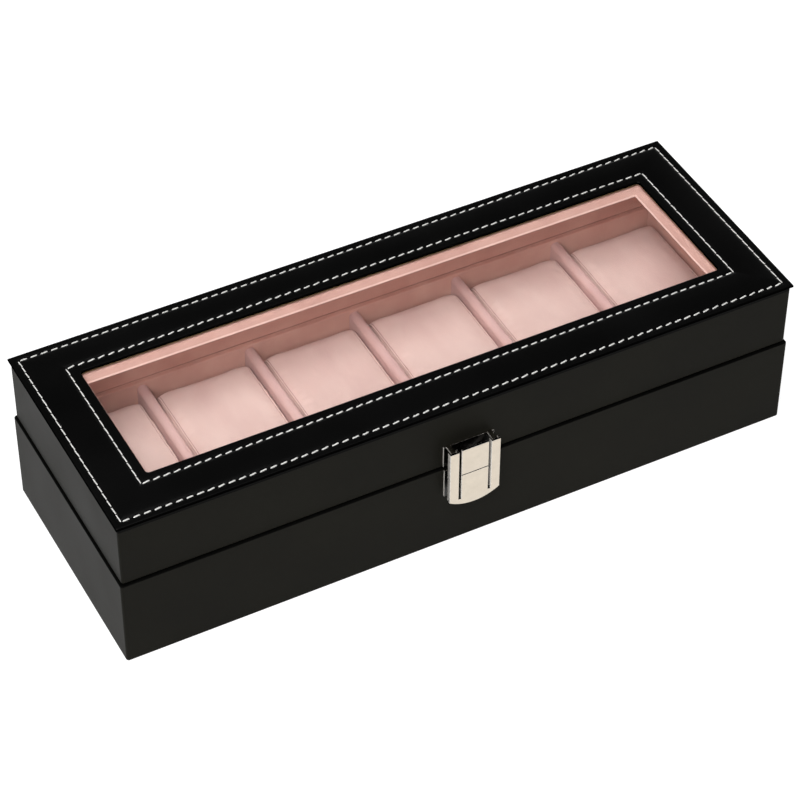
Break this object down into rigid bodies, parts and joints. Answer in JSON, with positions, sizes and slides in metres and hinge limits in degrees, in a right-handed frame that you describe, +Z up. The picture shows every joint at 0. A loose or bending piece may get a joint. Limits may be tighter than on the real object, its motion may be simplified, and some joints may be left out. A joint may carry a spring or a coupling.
{
  "type": "watch box",
  "caption": "Long leather-covered box with a hinged, stitched window lid, a rocking front latch and velvet-lined compartments, each with a lift-out watch cushion.",
  "frame": {"origin": "middle of the underside, on the surface that the box stands on", "axes": "+X along the length to the right, +Y to the hinges at the back, +Z up"},
  "size_m": [0.304, 0.119, 0.0746],
  "materials": {
    "leather": "fine grain, semi-matt",
    "panel_leather": "fine grain, satin",
    "felt": "felt",
    "thread": "twisted thread",
    "glass": "polished",
    "cushion_velvet": "short pile velvet",
    "lining_velvet": "short pile velvet",
    "board": "fibreboard",
    "nickel": "polished nickel",
    "spring_steel": "bright",
    "hinge_steel": "plated"
  },
  "bodies": {
    "base": {"base_front_board": "board", "base_back_board": "board", "base_left_board": "board", "base_right_board": "board", "base_floor_board": "board", "base_leather": "leather", "base_felt": "felt", "base_front_lining": "lining_velvet", "base_back_lining": "lining_velvet", "base_left_lining": "lining_velvet", "base_right_lining": "lining_velvet", "floor_pad": "lining_velvet", "divider_1": "lining_velvet", "divider_2": "lining_velvet", "divider_3": "lining_velvet", "divider_4": "lining_velvet", "divider_5": "lining_velvet", "left_hinge_base_leaf": "hinge_steel", "right_hinge_base_leaf": "hinge_steel", "left_hinge_pin": "hinge_steel", "right_hinge_pin": "hinge_steel", "hinge_base_screws": "hinge_steel", "latch_plate": "nickel", "latch_pin": "nickel", "latch_spring": "spring_steel", "latch_plate_nails": "nickel"},
    "lid": {"lid_front_board": "board", "lid_back_board": "board", "lid_left_board": "board", "lid_right_board": "board", "top_front_rail": "board", "top_back_rail": "board", "top_left_rail": "board", "top_right_rail": "board", "lid_leather": "leather", "top_panel": "panel_leather", "outer_stitching": "thread", "inner_stitching": "thread", "window_glass": "glass", "window_trim": "lining_velvet", "lid_lining": "lining_velvet", "left_hinge_lid_leaf": "hinge_steel", "right_hinge_lid_leaf": "hinge_steel", "hinge_lid_screws": "hinge_steel", "latch_strike": "nickel", "latch_strike_nails": "nickel"},
    "flap": {"latch_flap": "nickel"},
    "cushion_1": {"cushion_1": "cushion_velvet"},
    "cushion_2": {"cushion_2": "cushion_velvet"},
    "cushion_3": {"cushion_3": "cushion_velvet"},
    "cushion_4": {"cushion_4": "cushion_velvet"},
    "cushion_5": {"cushion_5": "cushion_velvet"},
    "cushion_6": {"cushion_6": "cushion_velvet"}
  },
  "joints": [
    {"name": "lid_hinge", "type": "hinge", "parent": "base", "child": "lid", "pos_m": [0, 0.0562, 0.0429], "axis": [-1, 0, 0], "range_deg": [0, 95]},
    {"name": "latch_press", "type": "hinge", "parent": "base", "child": "flap", "pos_m": [0, -0.0566, 0.04], "axis": [1, 0, 0], "range_deg": [0, 8], "stiffness_Nm_per_rad": 0.01, "springref_deg": -11.46, "deforming": ["latch_spring"]},
    {"name": "cushion_1_lift", "type": "slide", "parent": "base", "child": "cushion_1", "axis": [0, 0, 1], "range_m": [0, 0.026]},
    {"name": "cushion_2_lift", "type": "slide", "parent": "base", "child": "cushion_2", "axis": [0, 0, 1], "range_m": [0, 0.026]},
    {"name": "cushion_3_lift", "type": "slide", "parent": "base", "child": "cushion_3", "axis": [0, 0, 1], "range_m": [0, 0.026]},
    {"name": "cushion_4_lift", "type": "slide", "parent": "base", "child": "cushion_4", "axis": [0, 0, 1], "range_m": [0, 0.026]},
    {"name": "cushion_5_lift", "type": "slide", "parent": "base", "child": "cushion_5", "axis": [0, 0, 1], "range_m": [0, 0.026]},
    {"name": "cushion_6_lift", "type": "slide", "parent": "base", "child": "cushion_6", "axis": [0, 0, 1], "range_m": [0, 0.026]}
  ]
}
